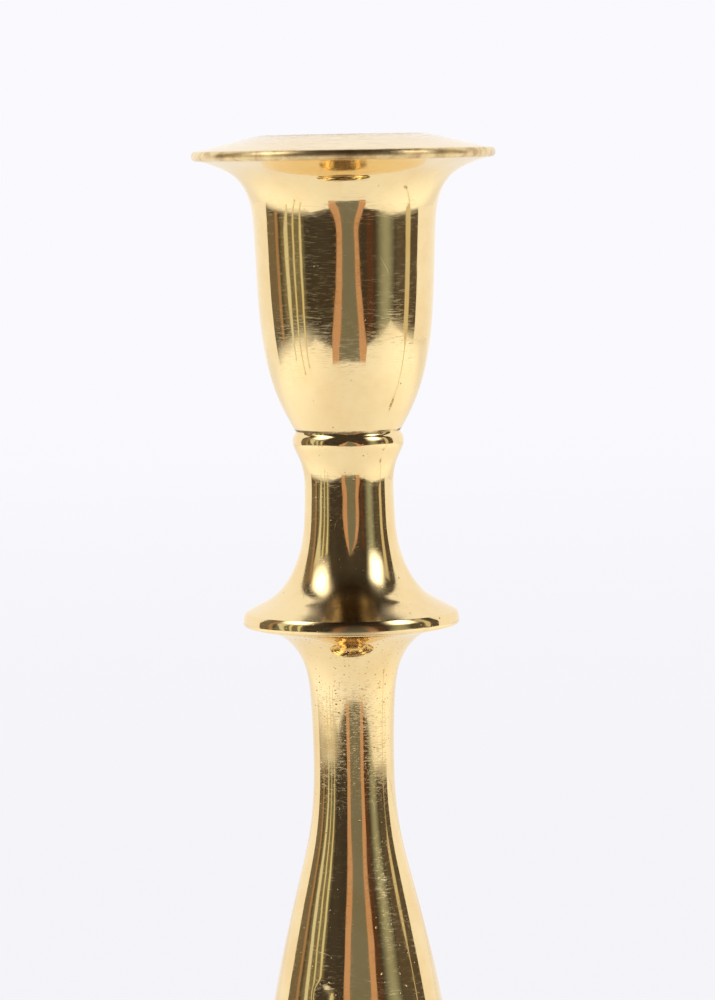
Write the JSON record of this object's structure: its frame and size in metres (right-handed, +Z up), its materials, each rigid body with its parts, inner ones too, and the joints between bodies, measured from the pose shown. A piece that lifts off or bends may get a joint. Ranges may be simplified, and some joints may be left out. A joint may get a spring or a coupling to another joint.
{
  "type": "push-up candlestick",
  "caption": "Turned candlestick with a tulip-shaped socket and wide drip flange, a drip disc on a waisted neck, a pear-shaped stem, a round stepped foot and a push-up ejector.",
  "frame": {"origin": "centre of the ring on which the foot stands, on the table's surface", "axes": "+Z up along the candlestick's axis; it is round about Z, so X and Y are free"},
  "size_m": [0.112, 0.112, 0.229],
  "materials": {
    "polished_brass": "mirror polish with fine turning lines, small casting pits and worn edges",
    "dull_brass": "unpolished, tarnished brass of the hidden fastenings",
    "steel": "drawn steel wire with a brown patina"
  },
  "bodies": {
    "root": {"candle_socket": "polished_brass", "neck_and_drip_disc": "polished_brass", "baluster_stem": "polished_brass", "foot": "polished_brass", "foot_washer": "dull_brass", "stem_nut": "dull_brass"},
    "ejector": {"ejector_plate": "dull_brass", "ejector_rod": "steel", "ejector_button": "dull_brass"}
  },
  "joints": [
    {"name": "ejector_slide", "type": "slide", "parent": "root", "child": "ejector", "axis": [0, 0, 1], "range_m": [0, 0.02]}
  ]
}
